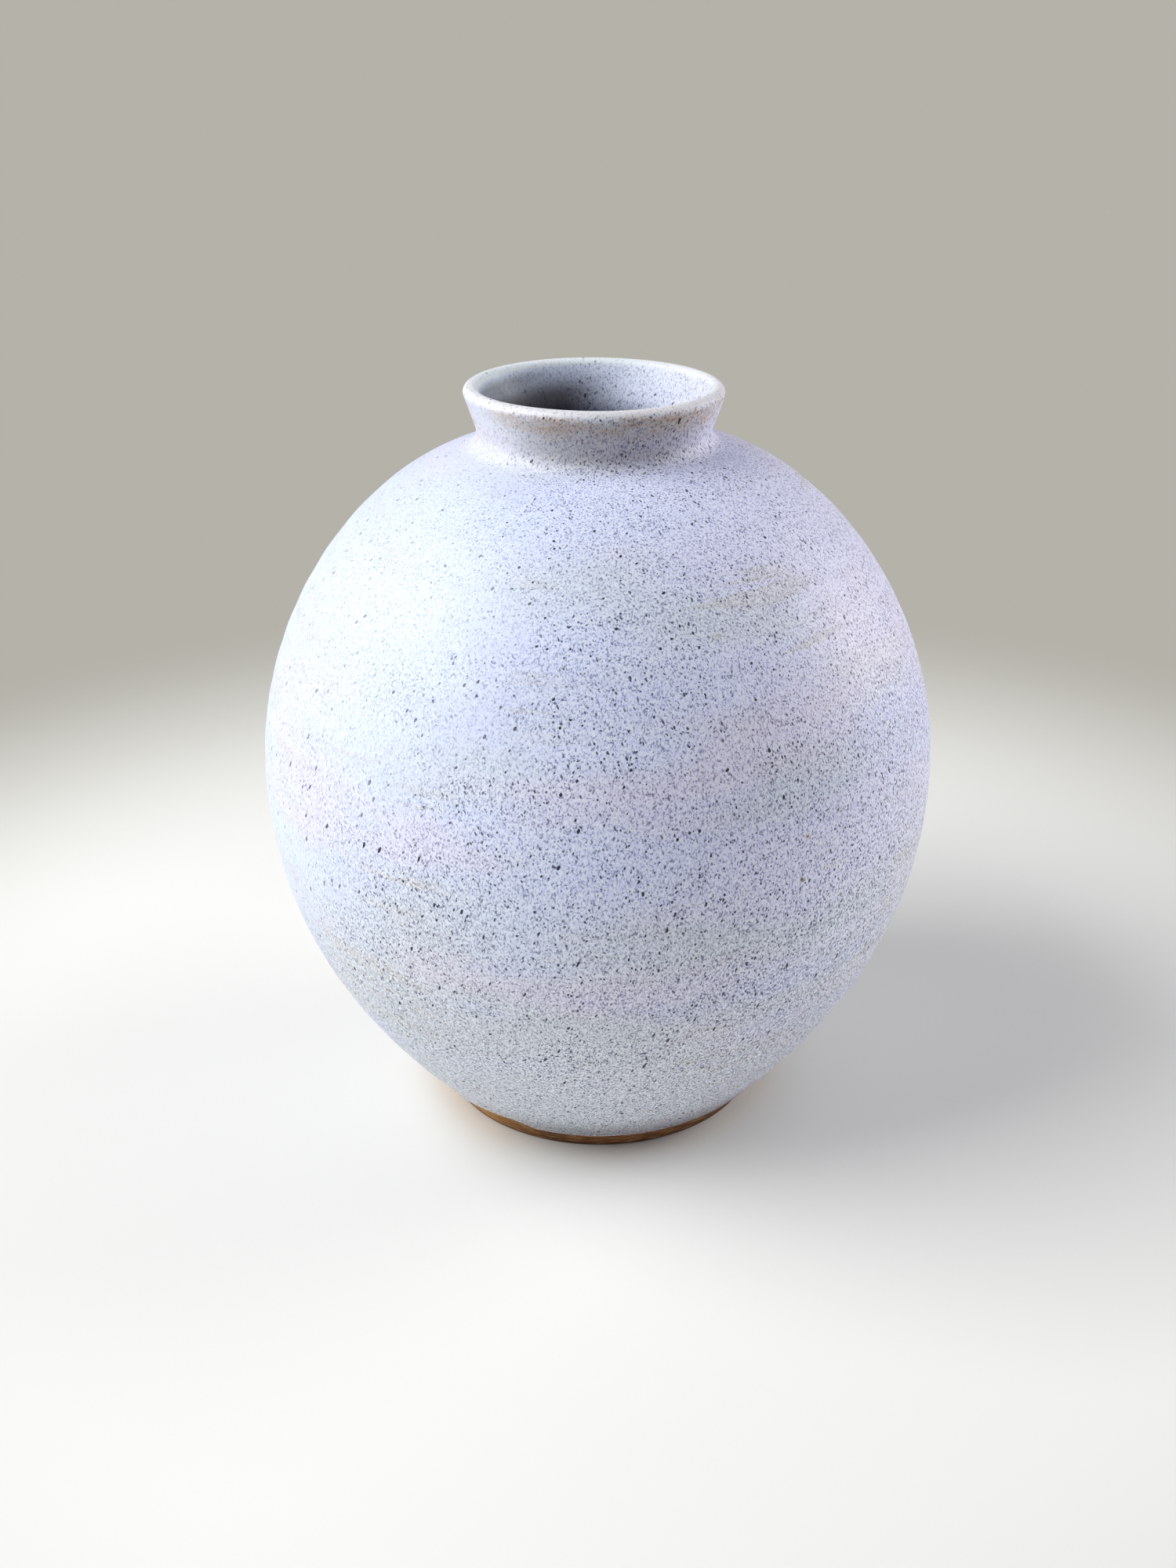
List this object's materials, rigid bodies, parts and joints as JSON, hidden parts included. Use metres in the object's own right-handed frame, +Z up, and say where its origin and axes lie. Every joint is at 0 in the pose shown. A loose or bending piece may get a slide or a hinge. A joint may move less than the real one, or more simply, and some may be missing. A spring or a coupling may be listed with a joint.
{
  "type": "vase",
  "caption": "Globe-shaped stoneware vase with a short flared collar and rounded lip, speckled satin glaze inside and out, on a bare turned foot ring.",
  "frame": {"origin": "centre of the foot, on the surface that the vase stands on", "axes": "+Z up along the axis of the pot; the pot is round, so +X and +Y are any two level directions"},
  "size_m": [0.18, 0.18, 0.2005],
  "materials": {
    "bare_stoneware": "toasted bare clay, turned",
    "stoneware": "fired clay under glaze",
    "speckled_glaze": "satin matt, iron speckle",
    "liner_glaze": "satin matt, iron speckle"
  },
  "bodies": {
    "root": {"foot_ring": "bare_stoneware", "thrown_body": "stoneware", "neck_collar": "stoneware", "outer_glaze": "speckled_glaze", "liner_glaze": "liner_glaze"}
  },
  "joints": []
}
